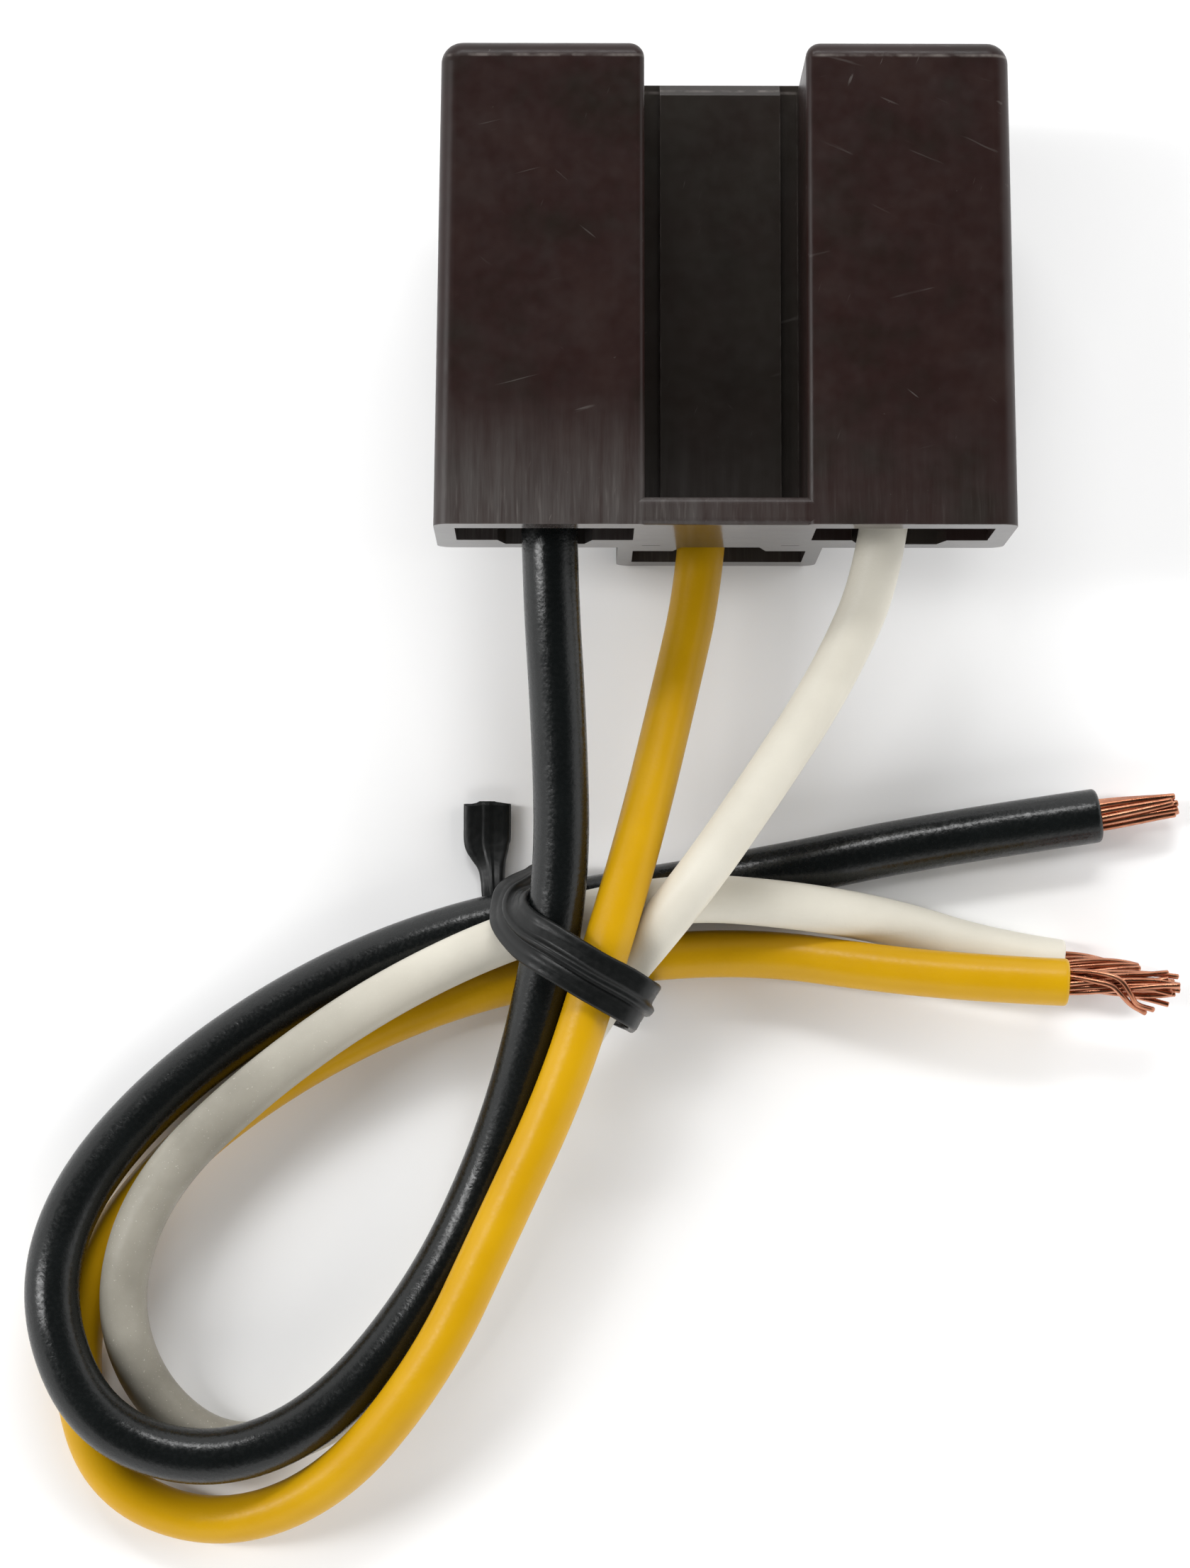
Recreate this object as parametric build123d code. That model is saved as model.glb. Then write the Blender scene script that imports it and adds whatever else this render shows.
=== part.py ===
from build123d import *
import math
import os

# Three-cavity blade connector with its three looped and tied wires.
# Millimetres. X across the housing, Y towards the mating end, Z up from
# the surface the connector lies on; the origin is the housing's bottom centre.

# ---- housing ----
length = 24.8          # wire end to mating end
width = 29.5           # across the two outer towers at the wire end
width_mating = 28.8    # the outer sides draw in to this at the mating end
depth = 15.4           # underside of the middle tower to the front of the outer towers
tower_back = 7.0       # outer towers start this high
tower_inner = 4.1      # inner face of an outer tower from the centre plane
mid_half = 5.35        # half width of the middle tower
mid_shoulder = 7.7     # height of the middle tower's shoulders
boss_half = 3.15       # half width of the raised strip between the towers
boss_top = 8.4
mid_short = 0.4        # the middle tower stops short of the mating end
plate_t = 1.4          # base plate joining the outer towers at the wire end
long_edge_r = 0.85
corner_r = 1.1

# ---- cavities ----
cav_x = 9.15
cav_w = 9.1
cav_h = 4.2
cav_low = 9.7          # outer cavities, lower side of the slot
mid_cav_low = 1.5
end_wall = 1.5
channel_d = 1.4        # crimp channel beside the slot
channel_w_in = 4.9
channel_w_out = 4.1
channel_len = 11.0
blade_w = 8.0
blade_h = 1.6
blade_lead = 0.35

# ---- wires ----
black_d, black_core_d = 2.9, 1.85
small_d, small_core_d = 2.5, 1.5
black_strand_d, small_strand_d = 0.355, 0.285
brush_y = -3.0         # inner end of the bare conductor, beyond the crimp

black_route = [(-9.0, -7.2, 10.2), (-8.9, -14.4, 10.2), (-8.4, -22.0, 9.1),
               (-8.2, -29.5, 8.1), (-9.4, -36.5, 7.0), (-11.6, -44.0, 4.7),
               (-15.2, -51.5, 4.1), (-20.6, -57.9, 4.1), (-26.7, -60.2, 4.1),
               (-32.7, -58.1, 4.1), (-35.3, -52.0, 3.9), (-34.0, -46.1, 3.0),
               (-28.9, -40.1, 1.8), (-21.5, -35.1, 1.6), (-14.0, -32.1, 2.2),
               (-6.5, -30.7, 2.3), (2.5, -29.2, 1.6), (11.5, -27.3, 1.5),
               (20.4, -26.0, 1.5)]
yellow_route = [(-0.6, -7.2, 5.4), (-0.9, -13.5, 5.5), (-2.5, -20.5, 6.3),
                (-4.2, -27.5, 7.8), (-6.2, -34.2, 8.3), (-8.3, -40.8, 7.9),
                (-11.5, -47.6, 7.0), (-14.9, -54.9, 6.7), (-20.2, -61.4, 3.6),
                (-26.5, -63.7, 1.3), (-32.3, -61.4, 1.3), (-34.1, -55.5, 1.3),
                (-33.0, -49.6, 1.3), (-28.9, -44.2, 1.3), (-22.5, -39.4, 1.4),
                (-15.0, -35.8, 2.0), (-7.0, -34.1, 2.2), (1.5, -33.4, 1.6),
                (9.0, -34.1, 2.5), (14.2, -34.8, 3.4), (18.4, -35.0, 3.6)]
white_route = [(8.8, -7.2, 10.0), (8.4, -13.4, 10.0), (5.7, -19.6, 9.3),
               (1.6, -25.8, 8.7), (-1.8, -30.6, 8.3), (-6.0, -36.4, 4.2),
               (-9.5, -42.4, 1.4), (-12.5, -48.6, 1.3), (-16.6, -54.9, 1.3),
               (-21.1, -58.6, 1.3), (-26.1, -59.7, 1.3), (-30.1, -56.6, 1.5),
               (-31.6, -51.6, 3.5), (-29.8, -45.7, 4.1), (-24.3, -40.3, 4.1),
               (-17.6, -35.6, 4.5), (-10.0, -32.1, 4.9), (-2.2, -30.5, 5.0),
               (4.0, -30.7, 4.0), (9.4, -31.7, 1.5), (14.4, -33.0, 1.3),
               (18.4, -33.6, 1.3)]

# ---- twist tie ----
tie_centre = (-6.9, -33.3)
tie_dir = (0.788, -0.616)      # along the front band, seen from above
tie_w = 2.5
tie_t = 0.55
tie_core_d = 0.36
tie_inner = [(-6.35, 0.68), (-6.5, 2.8), (-4.95, 9.6), (2.9, 9.6), (3.95, 6.6), (4.75, 0.68)]
tie_r = 1.0

os.makedirs("parts", exist_ok=True)


def save(node, shape):
    export_step(shape, "parts/" + node + ".step")
    b = shape.bounding_box()
    print(node, "volume %.1f" % shape.volume, "min (%.1f %.1f %.1f)" % (b.min.X, b.min.Y, b.min.Z),
          "max (%.1f %.1f %.1f)" % (b.max.X, b.max.Y, b.max.Z))


def block(x0, x1, y0, y1, z0, z1):
    return Pos((x0 + x1) / 2, (y0 + y1) / 2, (z0 + z1) / 2) * Box(x1 - x0, y1 - y0, z1 - z0)


def prism_z(points, z0, z1):
    """A flat outline in X and Y, carried from z0 to z1."""
    return Pos(0, 0, z0) * extrude(make_face(Polyline(*points, close=True)), z1 - z0)


def prism_y(points, y0, y1):
    """A flat outline in X and Z, carried from y0 to y1."""
    face = make_face(Polyline(*[(x, y0, z) for x, z in points], close=True))
    return extrude(face, amount=y1 - y0, dir=(0, 1, 0))


# ---------------------------------------------------------------- housing
y0, y1 = -length / 2, length / 2


def outer_tower(s):
    body = prism_z([(s * tower_inner, y0), (s * width / 2, y0),
                    (s * width_mating / 2, y1), (s * tower_inner, y1)], tower_back, depth)
    corner = [e for e in body.edges().filter_by(Axis.Z) if e.center().Y > y1 - 1 and abs(e.center().X) > 10]
    body = fillet(corner, corner_r)
    inner_long = [e for e in body.edges().filter_by(Axis.Y)
                  if abs(abs(e.center().X) - tower_inner) < 0.01 and e.center().Z > depth - 0.1]
    body = fillet(inner_long, 0.4)
    chain = [e for e in body.edges() if e.center().Y > y0 + 1
             and (e.center().Z > depth - 0.01 or (e.center().Z < tower_back + 0.01
                                                  and abs(e.center().X) > tower_inner + 1))
             and abs(e.center().X) > tower_inner + 0.6]
    body = fillet(chain, long_edge_r)
    return body


def taper_block(x0, x1, z0, z1, ya, yb, spread):
    """A blade slot that opens by spread from ya to yb."""
    a = Pos((x0 + x1) / 2, ya, (z0 + z1) / 2) * (Plane.XZ * Rectangle(x1 - x0, z1 - z0))
    b = Pos((x0 + x1) / 2, yb, (z0 + z1) / 2) * (Plane.XZ * Rectangle(x1 - x0 + 2 * spread, z1 - z0 + 2 * spread))
    return loft([a, b])


left, right = outer_tower(-1), outer_tower(1)
middle = block(-mid_half, mid_half, y0, y1 - mid_short, 0, mid_shoulder)
middle = fillet([e for e in middle.edges().filter_by(Axis.Y) if e.center().Z < 1], 0.8)
boss = block(-boss_half, boss_half, y0, y1 - mid_short, mid_shoulder - 0.5, boss_top)
boss = chamfer([e for e in boss.edges().filter_by(Axis.X) if e.center().Y > 0 and e.center().Z > boss_top - 0.1], 0.7)
middle = chamfer([e for e in middle.edges().filter_by(Axis.X)
                  if e.center().Y > 0 and e.center().Z < 0.1], 0.5) + boss
plate = block(-tower_inner - 0.4, tower_inner + 0.4, y0, y0 + plate_t, boss_top - 0.6, depth)
plate = fillet([e for e in plate.edges().filter_by(Axis.X) if e.center().Z > depth - 0.1], 0.35)
housing = left + right + middle + plate

for s in (-1, 1):
    cx = s * cav_x
    housing -= block(cx - cav_w / 2, cx + cav_w / 2, y0 - 1, y1 - end_wall, cav_low, cav_low + cav_h)
    housing -= prism_y([(cx - channel_w_in / 2, cav_low + 0.01), (cx + channel_w_in / 2, cav_low + 0.01),
                        (cx + channel_w_out / 2, cav_low - channel_d), (cx - channel_w_out / 2, cav_low - channel_d)],
                       y0 - 1, y0 + channel_len)
    blade_z = cav_low + 0.1 + 0.4 + 0.4
    housing -= block(cx - blade_w / 2, cx + blade_w / 2, y1 - 3, y1 + 1, blade_z - blade_h / 2, blade_z + blade_h / 2)
    housing -= taper_block(cx - blade_w / 2, cx + blade_w / 2, blade_z - blade_h / 2, blade_z + blade_h / 2,
                           y1 - 0.7, y1 + 0.01, blade_lead)
top = mid_cav_low + cav_h
housing -= block(-cav_w / 2, cav_w / 2, y0 - 1, y1 - mid_short - end_wall, mid_cav_low, top)
housing -= prism_y([(-channel_w_in / 2, top - 0.01), (channel_w_in / 2, top - 0.01),
                    (channel_w_out / 2, top + channel_d), (-channel_w_out / 2, top + channel_d)],
                   y0 - 1, y0 + channel_len)
mid_blade_z = top - 0.1 - 0.4 - 0.4
housing -= block(-blade_w / 2, blade_w / 2, y1 - 4, y1 + 1, mid_blade_z - blade_h / 2, mid_blade_z + blade_h / 2)
housing -= taper_block(-blade_w / 2, blade_w / 2, mid_blade_z - blade_h / 2, mid_blade_z + blade_h / 2,
                       y1 - mid_short - 0.7, y1 - mid_short + 0.01, blade_lead)
save("housing", housing)


# -------------------------------------------------------------- terminals
sheet = 0.4
recept_half = 3.75
recept_len = 8.6
roll_r = 1.25


def crimp(r_in, wall, x, z, ya, yb):
    """A crimped barrel: a ring with its seam on the upper side."""
    face = Pos(x, ya, z) * (Plane.XZ * (Circle(r_in + wall) - Circle(r_in)))
    ring = extrude(face, amount=yb - ya, dir=(0, 1, 0))
    return ring - block(x - 0.12, x + 0.12, ya - 1, yb + 1, z, z + r_in + wall + 1)


def terminal(crimp_x, wire_z, wire_r, core_r):
    """Female blade terminal, floor underside at z = 0, mating way +Y.
    crimp_x, wire_z: the wire's axis, measured from the floor's centre."""
    ya = 0.6
    yb = ya + recept_len
    shape = block(-recept_half + roll_r, recept_half - roll_r, ya, yb, 0, sheet)
    for s in (-1, 1):
        cx = s * (recept_half - roll_r)
        face = Pos(cx, ya, roll_r) * (Plane.XZ * (Circle(roll_r) - Circle(roll_r - sheet)))
        roll = extrude(face, amount=recept_len, dir=(0, 1, 0))
        lo, hi = (cx, cx + roll_r) if s < 0 else (cx - roll_r, cx)
        roll -= block(lo, hi, ya - 1, yb + 1, sheet, sheet + 0.8)
        shape += roll
    shape += Pos(0, ya + 5.2, sheet - 0.15) * Cylinder(0.7, 0.5)
    floor_z = wire_z - core_r - 0.02
    # neck from the receptacle down to the crimps
    low = wire_z - wire_r - 0.3
    neck = [(ya + 0.4, 0), (ya + 0.4, sheet), (ya - 1.4, sheet), (-3.4, floor_z), (-3.4, floor_z - 0.3),
            (ya - 1.7, 0)]
    face = make_face(Polyline(*[(crimp_x - 1.0, y, z) for y, z in neck], close=True))
    shape += extrude(face, amount=2.0, dir=(1, 0, 0))
    shape += crimp(core_r - 0.03, 0.3, crimp_x, wire_z, -6.3, -3.2)
    link = [(-6.0, floor_z), (-6.0, floor_z - 0.3), (-7.9, low), (-7.9, low + 0.3)]
    face = make_face(Polyline(*[(crimp_x - 0.9, y, z) for y, z in link], close=True))
    shape += extrude(face, amount=1.8, dir=(1, 0, 0))
    shape += crimp(wire_r - 0.05, 0.3, crimp_x, wire_z, -10.2, -7.6)
    # latch tang standing up behind the rolls
    tang = [(ya + 1.6, 2 * roll_r - sheet), (ya + 1.6, 2 * roll_r), (ya - 1.8, 2 * roll_r + 1.2),
            (ya - 1.9, 2 * roll_r + 0.9), (ya + 0.4, 2 * roll_r - sheet)]
    face = make_face(Polyline(*[(-2.6, y, z) for y, z in tang], close=True))
    shape += extrude(face, amount=5.2, dir=(1, 0, 0)) - block(-2.0, 2.0, ya - 4, ya + 0.6, 0, 5)
    return shape


floor_up = cav_low + 0.1
left_t = Pos(-9.1, 0, floor_up) * terminal(0.1, 10.2 - floor_up, black_d / 2, black_core_d / 2)
right_t = Pos(9.0, 0, floor_up) * terminal(-0.3, 10.0 - floor_up, small_d / 2, small_core_d / 2)
mid_t = Pos(0, 0, top - 0.1) * Rot(0, 180, 0) * terminal(0.7, top - 0.1 - 5.4, small_d / 2, small_core_d / 2)


# ------------------------------------------------------------------ wires
def run_path(route):
    """A centre line through the route with every corner rounded."""
    pts = [Vector(*p) for p in route]
    radii = []
    for a, b, c in zip(pts, pts[1:], pts[2:]):
        u, v = b - a, c - b
        turn = math.radians(u.get_angle(v))
        radii.append(0.45 * min(u.length, v.length) / math.tan(turn / 2))
    print("radii", ["%.1f" % r for r in radii])
    return FilletPolyline(*route, radius=radii)


def ring_sweep(path, r_out, r_in=0.0):
    start = Plane(origin=path @ 0, z_dir=path % 0)
    outer = sweep(start * Circle(r_out), path=path)
    if not r_in:
        return outer
    return outer - sweep(start * Circle(r_in), path=path)


def strands(route, core_r, strand_r, reach, splay, twist, odd):
    """Nineteen fine wires leaving the insulation: one, six and twelve."""
    end, before = Vector(*route[-1]), Vector(*route[-2])
    axis = (end - before).normalized()
    side = axis.cross(Vector(0, 0, 1)).normalized()
    up = side.cross(axis)
    pitch = 2 * strand_r * 1.03
    seats = [(0.0, 0.0)]
    seats += [(pitch, k * 60.0) for k in range(6)]
    seats += [(pitch * (2.0 if k % 2 == 0 else 1.7321), k * 30.0) for k in range(12)]
    out = []
    for k, (rad, ang) in enumerate(seats):
        a = math.radians(ang + 8.0)
        b = math.radians(ang + 8.0 + twist)
        n = reach * (1 - 0.05 * ((k * 7) % 4))
        p = end + side * (rad * math.cos(a)) + up * (rad * math.sin(a))
        grow = rad * (1 + splay)
        q = end + axis * n + side * (grow * math.cos(b)) + up * (grow * math.sin(b))
        if k in odd:
            q = q + side * odd[k][0] + up * odd[k][1]
        q = Vector(q.X, q.Y, max(q.Z, strand_r + 0.02))
        d = (q - p)
        out.append(extrude(Plane(origin=p, z_dir=d.normalized()) * Circle(strand_r), d.length))
    return Compound(children=out)


def wire(name, route, d, core_d, strand_d, reach, splay, twist, odd):
    path = run_path(route)
    jacket = ring_sweep(path, d / 2, core_d / 2)
    core = ring_sweep(path, core_d / 2)
    first, second = Vector(*route[0]), Vector(*route[1])
    back = (first - second).normalized()
    n = (brush_y - first.Y) / back.Y
    core += extrude(Plane(origin=first, z_dir=back) * Circle(core_d / 2), n)
    ideal = math.pi / 4 * (d * d - core_d * core_d) * path.length
    print(name, "centre line %.1f mm" % path.length, "jacket volume %.1f of %.1f" % (jacket.volume, ideal))
    save(name + "_insulation", jacket)
    save(name + "_conductor", core)
    save(name + "_strands", strands(route, core_d / 2, strand_d / 2, reach, splay, twist, odd))


wire("black", black_route, black_d, black_core_d, black_strand_d, 4.4, 0.0, 14, {})
wire("yellow", yellow_route, small_d, small_core_d, small_strand_d, 5.9, 0.5, 16, {})
wire("white", white_route, small_d, small_core_d, small_strand_d, 4.1, 0.1, 14, {})
save("terminal_left", left_t)
save("terminal_middle", mid_t)
save("terminal_right", right_t)


# -------------------------------------------------------------- twist tie
along = Vector(tie_dir[0], tie_dir[1], 0).normalized()
across = Vector(-along.Y, along.X, 0)
tie_plane = Plane(origin=Vector(tie_centre[0], tie_centre[1], 0) - across * (tie_w / 2),
                  x_dir=along, z_dir=across * 1.0)


def in_tie(points):
    """Outline points (along, up) placed in the tie's upright plane."""
    o = Vector(tie_centre[0], tie_centre[1], 0) - across * (tie_w / 2)
    return [o + along * a + Vector(0, 0, 1) * z for a, z in points]


inner = make_face(Polyline(*[(a, z) for a, z in tie_inner], close=True))
inner = fillet(inner.vertices(), tie_r)
outer = offset(inner, tie_t)
upright = Plane(origin=Vector(tie_centre[0], tie_centre[1], 0), x_dir=along, z_dir=along.cross(Vector(0, 0, 1)))
band = extrude(upright * (outer - inner), tie_w / 2, both=True)
mid_line = offset(inner, tie_t / 2)
mid_wire = (upright * mid_line).wires()[0]
start = Plane(origin=mid_wire @ 0, z_dir=mid_wire % 0)
tie_core = sweep(start * Circle(tie_core_d / 2), path=mid_wire)
save("twist_tie_core", tie_core)

# free end of the tie: a twisted neck and a flat tab beyond the wires
neck = Pos(-12.05, -28.6, 0.7) * Box(1.3, 2.9, 0.9)
tab = Pos(-12.25, -26.3, 0.75) * Box(tie_w, 2.6, tie_t)
link = Pos(0, 0, 0.1) * extrude(make_face(Polyline((-12.7, -31.2), (-11.3, -32.0), (-11.3, -29.6),
                                                   (-12.7, -29.6), close=True)), 0.5)
ribbon = band + link + neck + tab - tie_core
save("twist_tie_ribbon", ribbon)
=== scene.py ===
import bpy, bmesh, math, random
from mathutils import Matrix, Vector


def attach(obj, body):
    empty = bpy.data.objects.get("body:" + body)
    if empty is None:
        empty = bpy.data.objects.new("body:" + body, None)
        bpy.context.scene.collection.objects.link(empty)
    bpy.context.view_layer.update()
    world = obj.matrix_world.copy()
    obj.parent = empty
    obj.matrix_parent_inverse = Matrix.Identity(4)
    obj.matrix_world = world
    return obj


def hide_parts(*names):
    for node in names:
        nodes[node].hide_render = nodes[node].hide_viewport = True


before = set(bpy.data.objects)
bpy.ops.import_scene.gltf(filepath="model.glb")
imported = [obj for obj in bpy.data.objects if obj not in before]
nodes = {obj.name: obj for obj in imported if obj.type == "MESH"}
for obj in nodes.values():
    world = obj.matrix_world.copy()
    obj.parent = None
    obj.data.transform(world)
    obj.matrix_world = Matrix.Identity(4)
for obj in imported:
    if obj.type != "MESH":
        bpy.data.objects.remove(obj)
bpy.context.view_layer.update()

scene = bpy.context.scene


# ------------------------------------------------------------------ camera
CAMERA_PLACE = (-0.00811, -0.04233, 0.21788)
CAMERA_TURN = (4.751, -0.426, 0.043)    # degrees about X, Y and Z, with Z turned first
SENSOR_WIDTH = 36.0                     # mm
LENS = 93.42                            # mm

cam_data = bpy.data.cameras.new("camera")
cam_data.sensor_width = SENSOR_WIDTH
cam_data.lens = LENS
cam_data.clip_start, cam_data.clip_end = 0.01, 10.0
camera = bpy.data.objects.new("camera", cam_data)
scene.collection.objects.link(camera)
camera.rotation_mode = "ZYX"
camera.rotation_euler = [math.radians(angle) for angle in CAMERA_TURN]
camera.location = CAMERA_PLACE
scene.camera = camera

# ------------------------------------------------------------------- cords
BLACK_D, SMALL_D = .0029, .0025             # over the jackets
BLACK_CORE_R, SMALL_CORE_R = .00094, .00077  # bundles of bare wires
TUBE_SIDES = 28
LIP_SHARE = 0.09                            # radius of a jacket's rounded end, of its diameter
LIP_STEPS = 5
HOLLOW = 0.0002                             # how deep the jacket's end is open round the wires

# the leads' routes, in metres, from the crimps to the jackets' ends
BLACK = [(-.0090, -.0072, .0102), (-.0089, -.0144, .0102), (-.0084, -.0220, .0091),
         (-.0082, -.0295, .0081), (-.0094, -.0365, .0070), (-.0116, -.0440, .0047),
         (-.0152, -.0515, .0041), (-.0206, -.0579, .0041), (-.0267, -.0602, .0041),
         (-.0327, -.0581, .0041), (-.0353, -.0520, .0039), (-.0340, -.0461, .0030),
         (-.0289, -.0401, .0018), (-.0215, -.0351, .0016), (-.0140, -.0321, .0022),
         (-.0065, -.0307, .0023), (.0025, -.0292, .0016), (.0115, -.0273, .0015),
         (.0204, -.0260, .0015)]
YELLOW = [(-.0006, -.0072, .0054), (-.0009, -.0135, .0055), (-.0025, -.0205, .0063),
          (-.0042, -.0275, .0078), (-.0062, -.0342, .0083), (-.0083, -.0408, .0079),
          (-.0115, -.0476, .0070), (-.0149, -.0549, .0067), (-.0202, -.0614, .0036),
          (-.0265, -.0637, .0013), (-.0323, -.0614, .0013), (-.0341, -.0555, .0013),
          (-.0330, -.0496, .0013), (-.0289, -.0442, .0013), (-.0225, -.0394, .0014),
          (-.0150, -.0358, .0020), (-.0070, -.0339, .0022), (.0015, -.0332, .0016),
          (.0090, -.0343, .0028), (.0142, -.0348, .0037), (.0184, -.0350, .0038)]
WHITE = [(.0088, -.0072, .0100), (.0084, -.0134, .0100), (.0057, -.0196, .0093),
         (.0016, -.0258, .0087), (-.0018, -.0306, .0083), (-.0066, -.0362, .0042),
         (-.0097, -.0422, .0014), (-.0125, -.0486, .0013), (-.0166, -.0549, .0013),
         (-.0211, -.0586, .0013), (-.0261, -.0597, .0013), (-.0301, -.0566, .0015),
         (-.0316, -.0516, .0035), (-.0298, -.0457, .0041), (-.0243, -.0403, .0041),
         (-.0176, -.0356, .0045), (-.0100, -.0321, .0049), (-.0022, -.0305, .0050),
         (.0040, -.0309, .0037), (.0094, -.0317, .0014), (.0144, -.0333, .0013),
         (.0184, -.0339, .0013)]


def nurbs_line(name, route):
    """The smooth centre line of a route: its NURBS spline, read back as points."""
    data = bpy.data.curves.new(name, "CURVE")
    data.dimensions = "3D"
    spline = data.splines.new("NURBS")
    spline.points.add(len(route) - 1)
    for point, place in zip(spline.points, route):
        point.co = (*place, 1.0)
    spline.order_u = 3
    spline.use_endpoint_u = True
    spline.resolution_u = 16
    holder = bpy.data.objects.new(name, data)
    mesh = bpy.data.meshes.new_from_object(holder)
    points = [v.co.copy() for v in mesh.vertices]
    bpy.data.objects.remove(holder)
    bpy.data.meshes.remove(mesh)
    return points


def mesh_object(name, verts, faces):
    """A smooth closed mesh that rides on the one body."""
    mesh = bpy.data.meshes.new(name)
    mesh.from_pydata([tuple(v) for v in verts], [], faces)
    mesh.validate()
    bm = bmesh.new()
    bm.from_mesh(mesh)
    bmesh.ops.recalc_face_normals(bm, faces=bm.faces)
    bm.to_mesh(mesh)
    bm.free()
    mesh.polygons.foreach_set("use_smooth", [True] * len(mesh.polygons))
    piece = bpy.data.objects.new(name, mesh)
    scene.collection.objects.link(piece)
    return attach(piece, "root")


def add_skin(faces, base, rows, sides):
    """Adds the walls and the two ends of a form whose rows of points start at base."""
    for i in range(rows - 1):
        for k in range(sides):
            p, q = base + i * sides + k, base + i * sides + (k + 1) % sides
            faces.append((p, q, q + sides, p + sides))
    faces.append(tuple(base + k for k in range(sides)))
    faces.append(tuple(base + (rows - 1) * sides + k for k in range(sides)))


def add_tube(verts, faces, rows, sides):
    """Adds a closed round form: each row is a point on its axis and a radius there."""
    base = len(verts)
    tangent = (rows[1][0] - rows[0][0]).normalized()
    side = tangent.orthogonal().normalized()
    for i, (point, radius) in enumerate(rows):
        step = rows[min(i + 1, len(rows) - 1)][0] - rows[max(i - 1, 0)][0]
        if step.length > 1e-9 and step.dot(tangent) > 0:
            tangent = step.normalized()
        side = (side - tangent * side.dot(tangent)).normalized()
        up = tangent.cross(side)
        for k in range(sides):
            turn = 2 * math.pi * k / sides
            verts.append(point + (side * math.cos(turn) + up * math.sin(turn)) * radius)
    add_skin(faces, base, len(rows), sides)


def lead(name, route, diameter, core_r):
    """An insulated lead, with the rounded lip and the hollow that a wire stripper leaves."""
    line = nurbs_line(name + "_line", route)
    r, lip = diameter / 2, LIP_SHARE * diameter
    end, axis = line[-1], (line[-1] - line[-2]).normalized()
    rows = [(p, r) for p in line if (end - p).length > 1.5 * lip]
    for k in range(LIP_STEPS + 1):
        turn = math.radians(90 * k / LIP_STEPS)
        rows.append((end - axis * lip * (1 - math.sin(turn)), r - lip * (1 - math.cos(turn))))
    for depth, radius in ((0, core_r * 1.12), (HOLLOW * 0.4, core_r * 1.04), (HOLLOW, core_r)):
        rows.append((end - axis * depth, radius))
    verts, faces = [], []
    add_tube(verts, faces, rows, TUBE_SIDES)
    return mesh_object(name, verts, faces), line


black, black_line = lead("black_lead", BLACK, BLACK_D, BLACK_CORE_R)
yellow, yellow_line = lead("yellow_lead", YELLOW, SMALL_D, SMALL_CORE_R)
white, white_line = lead("white_lead", WHITE, SMALL_D, SMALL_CORE_R)
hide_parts("black_insulation", "black_conductor")
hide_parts("yellow_insulation", "yellow_conductor")
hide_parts("white_insulation", "white_conductor")


# ----------------------------------------------------------------- strands
BLACK_STRAND_R, SMALL_STRAND_R = .00018, .000145
STRAND_SIDES = 10
STRAND_ROOT = -0.0009                       # where the wires start, inside the jacket
SEAT_TURN = 8                               # degrees that the bundle is turned by at its root
# two wires of the yellow end that stand out of its bundle
YELLOW_STRAYS = (
    [(-.9, -.3, .35), (.3, -.25, .55), (1.3, -.1, .78), (2.2, .1, .86), (2.8, .6, .74),
     (3.3, 1.02, .35), (4.1, 1.40, -.1)],
    [(-.9, -.45, .2), (.6, -.6, .5), (2.0, -.45, .84), (2.7, -.15, .92), (3.15, .4, .86),
     (3.6, .98, .45), (4.5, 1.22, .1)])


def smooth_line(points, steps):
    """Catmull-Rom through a few points."""
    p = [points[0] * 2 - points[1]] + list(points) + [points[-1] * 2 - points[-2]]
    out = []
    for i in range(1, len(p) - 2):
        for k in range(steps):
            t = k / steps
            out.append(0.5 * ((2 * p[i]) + (p[i + 1] - p[i - 1]) * t
                              + (2 * p[i - 1] - 5 * p[i] + 4 * p[i + 1] - p[i + 2]) * t * t
                              + (3 * p[i] - 3 * p[i + 1] + p[i + 2] - p[i - 1]) * t ** 3))
    out.append(points[-1])
    return out


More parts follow.
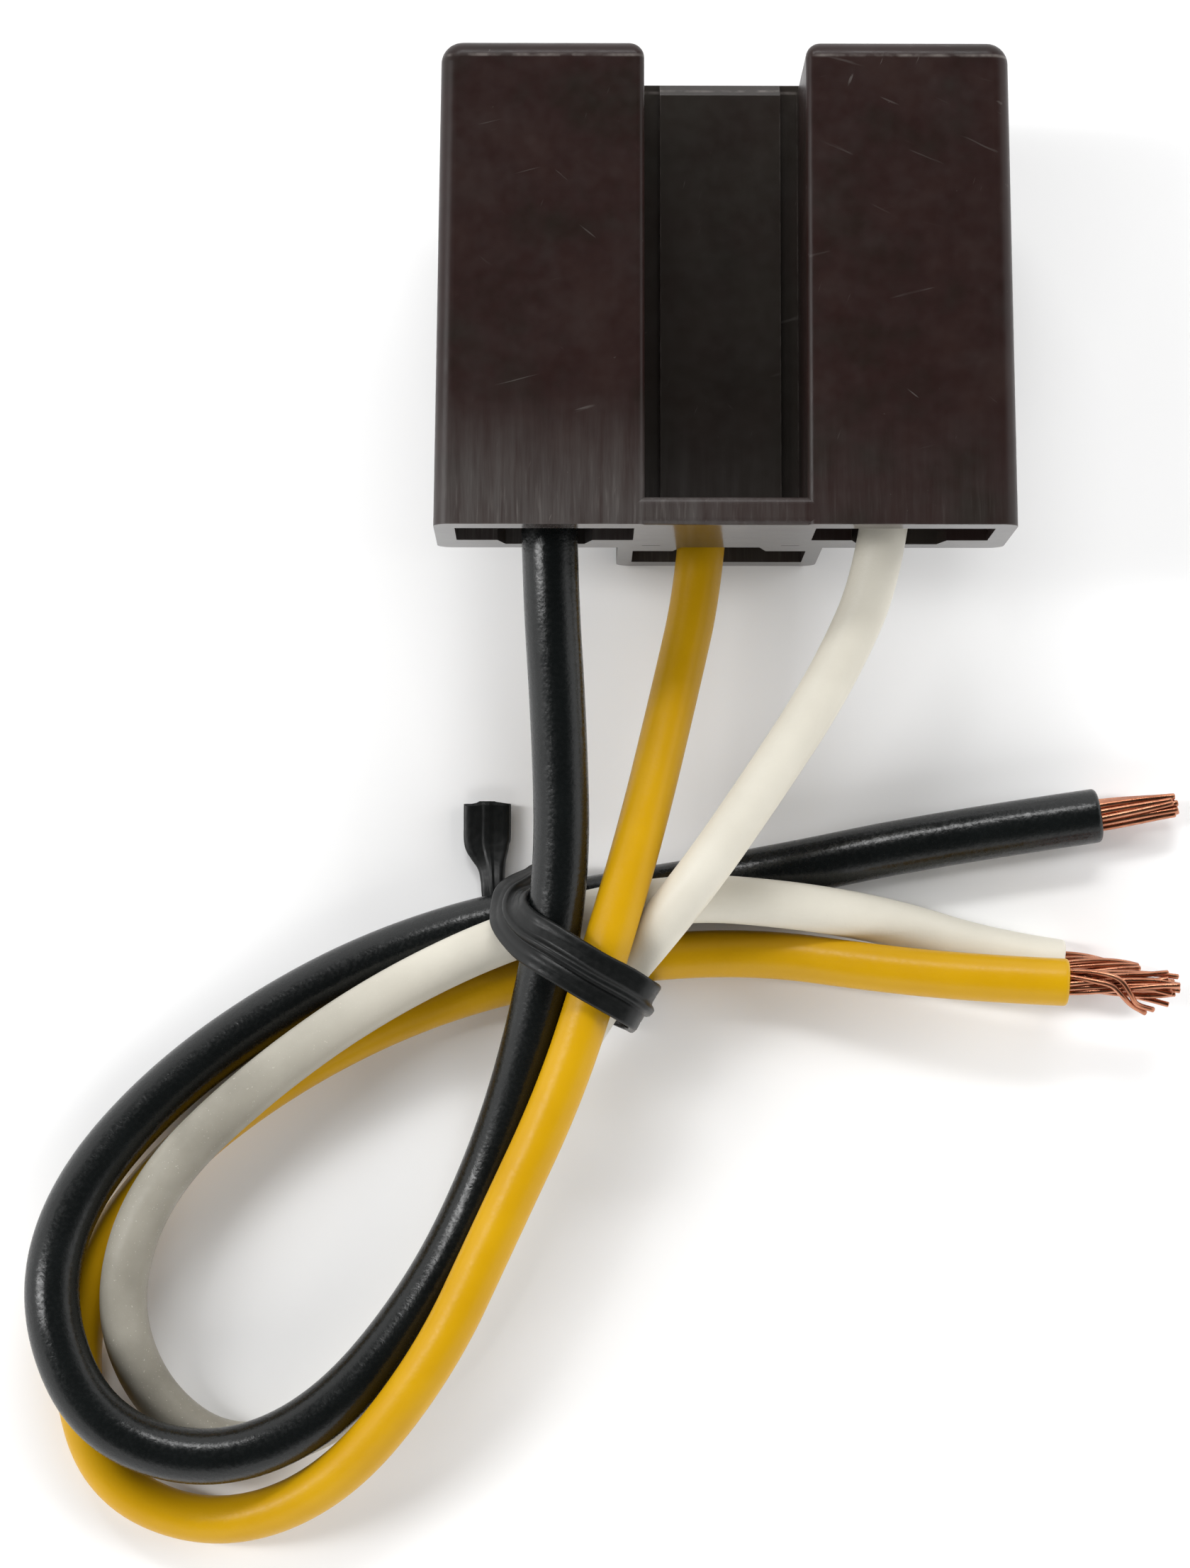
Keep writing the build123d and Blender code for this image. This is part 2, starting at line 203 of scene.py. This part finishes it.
def strands(name, line, r, reach, lay, splay, wobble, uneven, seed, strays=()):
    """Nineteen bare wires of radius r, one, six and twelve, laid in a rope. reach is their length
    and uneven how much shorter some are. lay is the twist in degrees over that length, splay how
    far the tips open and wobble how far a wire bends aside, in its radius. A stray is one wire's
    own path, as (along, across, up) in mm from the jacket's end."""
    rnd = random.Random(seed)
    end, axis = line[-1], (line[-1] - line[-3]).normalized()
    side = axis.cross(Vector((0, 0, 1))).normalized()
    up = side.cross(axis)
    seats = [(0.0, 0.0)] + [(2.0 * r, k * 60.0) for k in range(6)]
    seats += [(2.0 * r * (2.0 if k % 2 == 0 else 1.7321), k * 30.0) for k in range(12)]
    verts, faces = [], []
    for k, (out, angle) in enumerate(seats):
        long = reach * (1 - uneven * rnd.random())
        bend = rnd.uniform(-1, 1) * wobble, rnd.uniform(-1, 1) * wobble
        hook = rnd.uniform(-1, 1) * wobble
        points = []
        for i in range(8):
            s = i / 7
            turn = math.radians(angle + SEAT_TURN + lay * s)
            g = out * (1 + splay * s * s)
            points.append(end + axis * (STRAND_ROOT + (long - STRAND_ROOT) * s)
                          + side * (g * math.cos(turn) + r * (bend[0] * s * s + hook * s ** 6))
                          + up * (g * math.sin(turn) + r * bend[1] * s * s))
        if k >= len(seats) - len(strays):
            path = strays[len(seats) - 1 - k]
            points = [end + (axis * u + side * v + up * w) * 0.001 for u, v, w in path]
        for p in points:
            p.z = max(p.z, r * 1.1)
        rows = [(p, r) for p in smooth_line(points, 5)]
        tip = (rows[-1][0] - rows[-2][0]).normalized()
        rows.append((rows[-1][0] + tip * r * 0.25, r * 0.8))
        add_tube(verts, faces, rows, STRAND_SIDES)
    return mesh_object(name, verts, faces)


black_copper = strands("black_copper", black_line, BLACK_STRAND_R, reach=.0043, lay=16, splay=-0.34,
                       wobble=0.35, uneven=0.10, seed=3)
yellow_copper = strands("yellow_copper", yellow_line, SMALL_STRAND_R, reach=.0059, lay=95, splay=0.04,
                        wobble=1.7, uneven=0.13, seed=5, strays=YELLOW_STRAYS)
white_copper = strands("white_copper", white_line, SMALL_STRAND_R, reach=.0041, lay=125, splay=-0.02,
                       wobble=0.25, uneven=0.03, seed=8)
for copper_piece, node_name in ((black_copper, "black_strands"), (yellow_copper, "yellow_strands"),
                                (white_copper, "white_strands")):
    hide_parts(node_name)


# --------------------------------------------------------------- twist tie
HALF_W, HALF_T = 1.35, 0.2          # mm, of the plain band
CORE_PROUD = 0.14                   # mm that the core's end stands out of the tail
# the outer side of the band's section, across and out, in HALF_W and HALF_T: rounded edges,
# a shallow groove on each side and the ridge over the core
OUTER = [(-1.0, 0.3), (-.97, .75), (-.90, 1.0), (-.66, .95), (-.60, .84), (-.54, .93), (-.30, .95),
         (-.20, 1.1), (-.13, 1.9), (-.05, 2.4), (.07, 2.4), (.15, 1.8), (.20, .75), (.26, .60),
         (.32, .92), (.54, .95), (.60, .84), (.66, .93), (.90, 1.0), (.97, .75), (1.0, 0.3)]


def inner_height(u, v):
    """The inner side: the same edges, flat, with a trace of the core along the middle."""
    if abs(u) > .85:
        return v
    return 1.12 if abs(u) < .2 else 1.0


SECTION = OUTER + [(u, -inner_height(u, v)) for u, v in reversed(OUTER)]


def ribbon(name, stations, steps=8):
    """A plastic band with a wire ridge along its middle. A station is its centre in mm, the
    direction across the band, and factors on its width and thickness."""
    centre = smooth_line([Vector(place) for place, across, width, thickness in stations], steps)
    across_line = smooth_line([Vector(across) for place, across, width, thickness in stations], steps)
    factors = smooth_line([Vector((width, thickness, 0)) for place, across, width, thickness in stations],
                          steps)
    verts, faces = [], []
    for i, (place, across, factor) in enumerate(zip(centre, across_line, factors)):
        along = (centre[min(i + 1, len(centre) - 1)] - centre[max(i - 1, 0)]).normalized()
        across = (across - along * across.dot(along)).normalized()
        out = along.cross(across)
        for u, v in SECTION:
            proud = CORE_PROUD if i == 0 and abs(u) < 0.35 else 0.0
            point = place - along * proud + across * (u * HALF_W * factor.x) + out * (v * HALF_T * factor.y)
            verts.append(point * 0.001)
    add_skin(faces, 0, len(centre), len(SECTION))
    return mesh_object(name, verts, faces)


FRONT = (-0.515, -0.857, 0)         # across the front of the band, towards its lower edge
tie = ribbon("twist_tie", [
    # the flat tail, its neck, and the pass under the leads
    ((-12.25, -25.35, .53), (-1, 0, 0), .94, 1.0), ((-12.25, -26.5, .53), (-1, 0, 0), .94, 1.0),
    ((-12.25, -27.4, .55), (-1, 0, -.05), .92, 1.0), ((-12.15, -28.0, .58), (-1, 0, -.12), .78, 1.1),
    ((-12.02, -28.7, .63), (-1, 0, -.25), .56, 1.2), ((-11.96, -29.4, .66), (-1, 0, -.30), .48, 1.2),
    ((-11.92, -30.1, .63), (-1, 0, -.20), .47, 1.1), ((-11.80, -30.9, .53), (-1, -.1, 0), .50, .9),
    ((-11.2, -31.9, .46), (-.8, -.55, 0), .8, .8), ((-9.8, -33.1, .46), FRONT, .95, .8),
    ((-7.4, -34.5, .46), FRONT, 1, .8), ((-5.3, -35.75, .58), FRONT, 1, .9),
    # up the right side and over the front
    ((-4.25, -36.25, 1.1), FRONT, 1, 1), ((-4.0, -36.42, 2.2), FRONT, 1, 1),
    ((-3.95, -36.42, 4.6), FRONT, 1, 1), ((-3.93, -36.42, 7.0), FRONT, 1, 1),
    ((-3.98, -36.40, 8.4), FRONT, 1, 1), ((-4.35, -36.2, 9.25), FRONT, 1, 1),
    ((-5.2, -35.7, 9.62), FRONT, 1.02, 1), ((-6.6, -34.95, 9.85), FRONT, 1, 1),
    ((-8.0, -34.1, 9.8), FRONT, 1, 1),
    # the curl round the black lead, and down behind it
    ((-9.2, -33.35, 9.45), (-.50, -.86, -.05), 1, 1), ((-10.12, -32.72, 8.83), (-.58, -.74, -.32), .97, 1),
    ((-10.80, -31.93, 7.92), (-.66, -.42, -.62), .95, 1), ((-10.96, -31.2, 7.0), (-.56, -.02, -.82), 1, 1),
    ((-10.70, -30.48, 6.2), (-.33, .33, -.88), 1, 1), ((-10.10, -30.0, 5.4), (-.15, .46, -.87), 1, 1),
    ((-9.4, -29.55, 4.6), (-.25, .40, -.87), 1, 1), ((-8.8, -29.15, 3.8), (-.65, .2, -.6), 1, 1),
    ((-8.45, -28.95, 2.7), (-1, 0, -.15), 1, 1), ((-8.4, -29.0, 1.6), (-1, 0, 0), 1, 1),
    ((-8.4, -29.5, .75), (-1, 0, 0), 1, .9), ((-8.5, -30.4, .48), (-1, 0, 0), 1, .8),
    ((-8.6, -31.3, .46), (-1, 0, 0), 1, .8)])
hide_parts("twist_tie_ribbon", "twist_tie_core")


# --------------------------------------------------------------- materials
def new_mat(name):
    """A material, its node tree and its shader."""
    material = bpy.data.materials.new(name)
    material.use_nodes = True
    tree = material.node_tree
    shader = next(node for node in tree.nodes if node.type == "BSDF_PRINCIPLED")
    return material, tree, shader


def surface(tree, shader, colour, rough, normal):
    """Joins a colour, a roughness and a normal to the shader."""
    tree.links.new(colour, shader.inputs["Base Color"])
    tree.links.new(rough, shader.inputs["Roughness"])
    tree.links.new(normal, shader.inputs["Normal"])


def coords(tree, scale=(1, 1, 1), rot=(0, 0, 0)):
    """Object coordinates in metres, turned by rot and then stretched."""
    place = tree.nodes.new("ShaderNodeTexCoord").outputs["Object"]
    for kind, value in (("Rotation", rot), ("Scale", scale)):
        m = tree.nodes.new("ShaderNodeMapping")
        m.inputs[kind].default_value = value
        tree.links.new(place, m.inputs["Vector"])
        place = m.outputs["Vector"]
    return place


def noise(tree, vec, scale, detail=2.0, rough=0.5):
    texture = tree.nodes.new("ShaderNodeTexNoise")
    texture.inputs["Scale"].default_value = scale
    texture.inputs["Detail"].default_value = detail
    texture.inputs["Roughness"].default_value = rough
    tree.links.new(vec, texture.inputs["Vector"])
    return texture.outputs["Fac"]


def ramp(tree, fac, stops):
    """A colour or grey ramp over a value. A stop is a place from 0 to 1, and a colour or a grey."""
    node = tree.nodes.new("ShaderNodeValToRGB")
    elements = node.color_ramp.elements
    while len(elements) < len(stops):
        elements.new(0.5)
    for element, (place, shade) in zip(elements, stops):
        element.position = place
        element.color = (*shade, 1.0) if isinstance(shade, tuple) else (shade, shade, shade, 1.0)
    tree.links.new(fac, node.inputs["Fac"])
    return node.outputs["Color"]


def maths(tree, operation, a, b):
    n = tree.nodes.new("ShaderNodeMath")
    n.operation = operation
    for socket, value in zip(n.inputs, (a, b)):
        if isinstance(value, (int, float)):
            socket.default_value = value
        else:
            tree.links.new(value, socket)
    return n.outputs[0]


def blend(tree, fac, a, b):
    """Colour a turning into colour b as fac goes from 0 to 1."""
    n = tree.nodes.new("ShaderNodeMix")
    n.data_type = "RGBA"
    tree.links.new(fac, n.inputs[0])
    for socket, value in ((n.inputs[6], a), (n.inputs[7], b)):
        if isinstance(value, tuple):
            socket.default_value = (*value, 1.0)
        else:
            tree.links.new(value, socket)
    return n.outputs[2]


def bump(tree, height, distance, normal=None):
    b = tree.nodes.new("ShaderNodeBump")
    b.inputs["Distance"].default_value = distance
    tree.links.new(height, b.inputs["Height"])
    if normal is not None:
        tree.links.new(normal, b.inputs["Normal"])
    return b.outputs["Normal"]


def along_axis(tree, axis, low, high):
    """0 where the coordinate is at low (metres) and 1 at high."""
    split = tree.nodes.new("ShaderNodeSeparateXYZ")
    tree.links.new(coords(tree), split.inputs[0])
    span = tree.nodes.new("ShaderNodeMapRange")
    span.interpolation_type = "SMOOTHSTEP"
    span.inputs["From Min"].default_value = low
    span.inputs["From Max"].default_value = high
    tree.links.new(split.outputs[axis], span.inputs["Value"])
    return span.outputs["Result"]


ORANGE_PEEL, JACKET_WAVES = 5200, 420       # noise scales of a jacket's skin
LOOP_SHADE_FROM, LOOP_SHADE_TO = -0.011, -0.028     # painted shade: the white lead is greyer along its loop, standing in for the shade that falls there


def pvc(name, colour, dark, gloss, grain, spec, loop_shade=None):
    """Extruded wire jacket: slow colour drift, orange-peel grain and a satin skin, with an optional painted
    shade that greys it along the loop.
    """
    material, tree, shader = new_mat(name)
    v = coords(tree)
    base = ramp(tree, noise(tree, v, 260, 3), [(0.3, dark), (0.7, colour)])
    # painted shade: an optional grey, in patches, that grows along X towards the loop
    if loop_shade is not None:
        shade_patches = ramp(tree, noise(tree, v, 330, 4), [(0.2, 0.75), (0.7, 1.0)])
        painted_shade = maths(tree, "MULTIPLY", along_axis(tree, "X", LOOP_SHADE_FROM, LOOP_SHADE_TO), shade_patches)
        base = blend(tree, painted_shade, base, loop_shade)
    fleck = ramp(tree, noise(tree, v, 9000, 1), [(0.70, 0.0), (0.78, 0.5)])
    peel = noise(tree, v, ORANGE_PEEL, 2, 0.5)
    skin = bump(tree, noise(tree, v, JACKET_WAVES, 2), 0.00005, bump(tree, peel, grain))
    surface(tree, shader, blend(tree, fleck, base, dark),
            ramp(tree, peel, [(0.3, gloss), (0.7, gloss + 0.12)]), skin)
    shader.inputs["Specular IOR Level"].default_value = spec
    return material


def metal(name, tint_scale, tints, roughs, brushed, grain_scale, grain):
    """Bare metal whose tint and gloss drift. brushed stretches its grain along an axis."""
    material, tree, shader = new_mat(name)
    v = coords(tree)
    surface(tree, shader, ramp(tree, noise(tree, v, tint_scale, 3), tints),
            ramp(tree, noise(tree, v, 2500, 2), roughs),
            bump(tree, noise(tree, coords(tree, brushed), grain_scale, 2), grain))
    shader.inputs["Metallic"].default_value = 1.0
    return material


# the housing's old brown plastic and the tie's black
MAROON = [(0.30, (0.0105, 0.0066, 0.0048)), (0.50, (0.0155, 0.0070, 0.0062)),
          (0.72, (0.0205, 0.0105, 0.0090))]
TIE_BLACK = [(0.3, (0.0036, 0.0042, 0.0042)), (0.7, (0.0062, 0.0068, 0.0066))]
# painted light: a lighter olive that brightens the trough floor between the towers
TROUGH_LIGHT = (0.026, 0.0225, 0.018)
HAZE = (0.032, 0.027, 0.025)
RUBBED = (0.064, 0.058, 0.055)
SCORED = (0.125, 0.115, 0.108)
SCUFFED = (0.105, 0.095, 0.088)
WORN = (0.115, 0.100, 0.092)
ALONG = (1.0, 0.06, 1.0)                    # stretches a noise along the towers
TROUGH_LIGHT_FROM, TROUGH_LIGHT_TO = 0.0098, 0.0085       # height, in the trough between the towers, whose floor is lightened with painted light
HANDLED_FROM, HANDLED_TO = -0.0046, -0.0122  # along the towers, towards the wire end
SCORED_FROM, SCORED_TO = -0.0076, -0.0121
HANDLED_RIGHT, HANDLED_LEFT = 0.008, -0.006  # the left tower is rubbed more than the right
RIM, RIM_HALF = 0.01160, 0.00001            # the line just short of the mating end that shines
RIM_BLUR = 0.00012

# slanting scuffs: turn in radians, stretch along the scuff, noise scale, and how few there are
SCUFFS = [(1.32, 0.05, 3300, 0.735), (0.35, 0.09, 5200, 0.745), (-0.9, 0.07, 4800, 0.75)]
# the right tower's upper end has more of them
KNOCKS = [(-1.13, 0.08, 2900, 0.69), (-1.34, 0.06, 2600, 0.695)]


def cuts(tree, turn, stretch, scale, cut, soft, strength):
    """Short slanting scratches: the few places where a stretched noise is over cut."""
    slant = coords(tree, (1.0, stretch, 1.0), (0, 0, turn))
    return ramp(tree, noise(tree, slant, scale, 2, 0.5), [(cut, 0.0), (cut + soft, strength)])


def edges(tree, radius, low, high):
    """1 along a moulding's sharp edges: where a rounded normal leaves the true one."""
    soft = tree.nodes.new("ShaderNodeBevel")
    soft.samples = 6
    soft.inputs["Radius"].default_value = radius
    true = tree.nodes.new("ShaderNodeNewGeometry")
    dot = tree.nodes.new("ShaderNodeVectorMath")
    dot.operation = "DOT_PRODUCT"
    tree.links.new(soft.outputs["Normal"], dot.inputs[0])
    tree.links.new(true.outputs["Normal"], dot.inputs[1])
    return ramp(tree, maths(tree, "SUBTRACT", 1.0, dot.outputs["Value"]), [(low, 0.0), (high, 1.0)])


def scuffs(tree, v):
    """1 on the pits and scratches, which come in clusters."""
    marks = ramp(tree, noise(tree, v, 3200, 2), [(0.775, 0.0), (0.795, 0.8)])
    for scuff in SCUFFS:
        marks = maths(tree, "MAXIMUM", marks, cuts(tree, *scuff, 0.04, 0.9))
    clusters = ramp(tree, noise(tree, v, 190, 2), [(0.42, 0.12), (0.60, 1.0)])
    marks = maths(tree, "MULTIPLY", marks, clusters)
    corner = maths(tree, "MULTIPLY", along_axis(tree, "X", 0.0045, 0.0065),
                   along_axis(tree, "Y", 0.001, 0.006))
    for knock in KNOCKS:
        knocked = maths(tree, "MULTIPLY", cuts(tree, *knock, 0.05, 0.45), corner)
        marks = maths(tree, "MAXIMUM", marks, knocked)
    return marks


def handling(tree):
    """How much the wire end has been rubbed by fingers, from 0 to 1."""
    side = ramp(tree, along_axis(tree, "X", HANDLED_RIGHT, HANDLED_LEFT), [(0.0, 0.20), (1.0, 1.0)])
    handled = maths(tree, "MULTIPLY", along_axis(tree, "Y", HANDLED_FROM, HANDLED_TO), side)
    streaks = ramp(tree, noise(tree, coords(tree, ALONG), 1500, 4, 0.7), [(0.35, 0.35), (0.65, 1.0)])
    return maths(tree, "MULTIPLY", handled, streaks)


def worn_edges(tree, v):
    """How much the sharp edges and the rim are worn pale, from 0 to 1."""
    rim = maths(tree, "MULTIPLY", along_axis(tree, "Y", RIM - RIM_HALF - RIM_BLUR, RIM - RIM_HALF),
                along_axis(tree, "Y", RIM + RIM_HALF + RIM_BLUR, RIM + RIM_HALF))
    sharp = maths(tree, "MULTIPLY", edges(tree, 0.00016, 0.04, 0.22), 0.6)
    return maths(tree, "MULTIPLY", maths(tree, "MAXIMUM", sharp, rim),
                 ramp(tree, noise(tree, v, 1100, 3), [(0.42, 0.06), (0.62, 0.85)]))


def housing_plastic():
    """Old maroon-brown moulding: mottled, scratched, lightened on the trough floor between the towers with
    painted light, rubbed at the wire end.
    """
    material, tree, shader = new_mat("housing_plastic")
    v = coords(tree)
    base = ramp(tree, noise(tree, v, 230, 4, 0.6), MAROON)
    # painted light: the trough floor between the towers is lightened, in patches
    trough_light = maths(tree, "MULTIPLY", along_axis(tree, "Z", TROUGH_LIGHT_FROM, TROUGH_LIGHT_TO),
                  ramp(tree, noise(tree, v, 300, 3), [(0.3, 0.45), (0.7, 0.85)]))
    base = blend(tree, trough_light, base, TROUGH_LIGHT)
    base = blend(tree, ramp(tree, noise(tree, v, 420, 3), [(0.48, 0.0), (0.75, 0.20)]), base, HAZE)

    rubbed = handling(tree)
    base = blend(tree, maths(tree, "MULTIPLY", rubbed, 0.88), base, RUBBED)
    scores = ramp(tree, noise(tree, coords(tree, (1.0, 0.07, 1.0)), 7000, 2), [(0.56, 0.0), (0.76, 0.5)])
    scores = maths(tree, "MULTIPLY", scores, along_axis(tree, "Y", SCORED_FROM, SCORED_TO))
    base = blend(tree, maths(tree, "MULTIPLY", rubbed, scores), base, SCORED)
    base = blend(tree, maths(tree, "MULTIPLY", scuffs(tree, v), 0.6), base, SCUFFED)
    base = blend(tree, worn_edges(tree, v), base, WORN)

    facing = tree.nodes.new("ShaderNodeSeparateXYZ")
    tree.links.new(tree.nodes.new("ShaderNodeNewGeometry").outputs["Normal"], facing.inputs[0])
    wire_face = ramp(tree, maths(tree, "MULTIPLY", facing.outputs["Y"], -1.0), [(0.80, 0.0), (0.95, 1.0)])
    satin = ramp(tree, noise(tree, v, 1300, 3), [(0.3, 0.30), (0.7, 0.40)])
    rough = blend(tree, maths(tree, "MULTIPLY", rubbed, 0.6), satin, (0.5, 0.5, 0.5))
    rough = blend(tree, wire_face, rough, (0.14, 0.14, 0.14))
    grain = bump(tree, noise(tree, coords(tree, ALONG), 6500, 3, 0.6), 0.000002)
    surface(tree, shader, base, rough, bump(tree, noise(tree, v, 350, 2), 0.00002, grain))
    shader.inputs["Specular IOR Level"].default_value = 0.28
    return material


def tie_plastic():
    """The tie's dull black plastic."""
    material, tree, shader = new_mat("tie_plastic")
    v = coords(tree)
    surface(tree, shader, ramp(tree, noise(tree, v, 400, 3), TIE_BLACK),
            ramp(tree, noise(tree, v, 2600, 3), [(0.3, 0.30), (0.7, 0.44)]),
            bump(tree, noise(tree, v, 3600, 3), 0.000008))
    shader.inputs["Specular IOR Level"].default_value = 0.35
    return material


def dress(piece, material):
    if piece.material_slots:
        for place in piece.material_slots:
            place.material = material
    else:
        piece.data.materials.append(material)


dress(black, pvc("black_pvc", colour=(0.0052, 0.0064, 0.0064), dark=(0.0032, 0.0040, 0.0040),
                 gloss=0.20, grain=0.000013, spec=0.45))
dress(yellow, pvc("yellow_pvc", colour=(0.54, 0.300, 0.003), dark=(0.50, 0.270, 0.002),
                  gloss=0.30, grain=0.000009, spec=0.25))
# the white lead's loop is greyed with painted shade
dress(white, pvc("white_pvc", colour=(0.66, 0.63, 0.545), dark=(0.60, 0.57, 0.49),
                 gloss=0.34, grain=0.000009, spec=0.25, loop_shade=(0.215, 0.201, 0.166)))
copper = metal("copper", 900, [(0.25, (0.38, 0.135, 0.072)), (0.75, (0.68, 0.31, 0.185))],
               [(0.3, 0.24), (0.7, 0.36)], (1, 1, 1), 5000, 0.000002)
brass = metal("brass", 700, [(0.3, (0.45, 0.34, 0.16)), (0.7, (0.68, 0.55, 0.30))],
              [(0.3, 0.28), (0.7, 0.45)], (1, 0.08, 1), 6000, 0.000003)
for wires in (black_copper, yellow_copper, white_copper):
    dress(wires, copper)
dress(tie, tie_plastic())
dress(nodes["housing"], housing_plastic())
for node_name in ("terminal_left", "terminal_middle", "terminal_right"):
    dress(nodes[node_name], brass)

# ---------------------------------------------------------- floor and light
FLOOR_HALF = 0.25

floor_mat, _, floor_shader = new_mat("floor")
floor_shader.inputs["Base Color"].default_value = (0.93, 0.93, 0.93, 1)
floor_shader.inputs["Roughness"].default_value = 0.9
floor_shader.inputs["Specular IOR Level"].default_value = 0.1
corners = [(x * FLOOR_HALF, y * FLOOR_HALF, 0) for x, y in ((-1, -1), (1, -1), (1, 1), (-1, 1))]
floor_mesh = bpy.data.meshes.new("floor")
floor_mesh.from_pydata(corners, [], [(0, 1, 2, 3)])
floor = bpy.data.objects.new("floor", floor_mesh)
scene.collection.objects.link(floor)
floor.data.materials.append(floor_mat)

# the room: bright round the horizon, where the leads mirror it, and dark overhead
world = bpy.data.worlds.new("world")
scene.world = world
world.use_nodes = True
sky = world.node_tree
split = sky.nodes.new("ShaderNodeSeparateXYZ")
sky.links.new(sky.nodes.new("ShaderNodeTexCoord").outputs["Generated"], split.inputs[0])
shade = ramp(sky, split.outputs["Z"], [(0.0, 1.0), (0.42, 0.95), (0.62, 0.22), (0.80, 0.03), (1.0, 0.02)])
background = sky.nodes["Background"]
sky.links.new(shade, background.inputs["Color"])
background.inputs["Strength"].default_value = 1.2

AIM = Vector((-0.005, -0.02, 0))            # where every light points


def area(name, loc, size, power, gloss=True):
    """A rectangular soft light, of size (across, upright), that faces the object. With gloss off
    it lights the object and isn't mirrored in it."""
    data = bpy.data.lights.new(name, "AREA")
    data.shape = "RECTANGLE"
    data.size, data.size_y = size
    data.energy = power
    light = bpy.data.objects.new(name, data)
    scene.collection.objects.link(light)
    light.location = loc
    light.rotation_euler = (AIM - Vector(loc)).to_track_quat("-Z", "Y").to_euler()
    light.visible_glossy = gloss


area("left_strip", (-0.55, 0.04, 0.51), (0.08, 0.36), 1.7)
area("left_fill", (-0.66, 0.04, 0.36), (0.20, 0.42), 1.5, gloss=False)
area("back_strip", (-0.04, 0.54, 0.56), (0.42, 0.10), 2.0)
area("right_fill", (0.60, 0.10, 0.34), (0.40, 0.40), 2.1, gloss=False)
area("back_fill", (0.05, 0.56, 0.42), (0.40, 0.40), 1.3, gloss=False)
area("front_fill", (-0.10, -0.60, 0.34), (0.36, 0.36), 1.4, gloss=False)

scene.view_settings.view_transform = "Standard"
scene.view_settings.look = "None"
scene.view_settings.exposure = 0.0
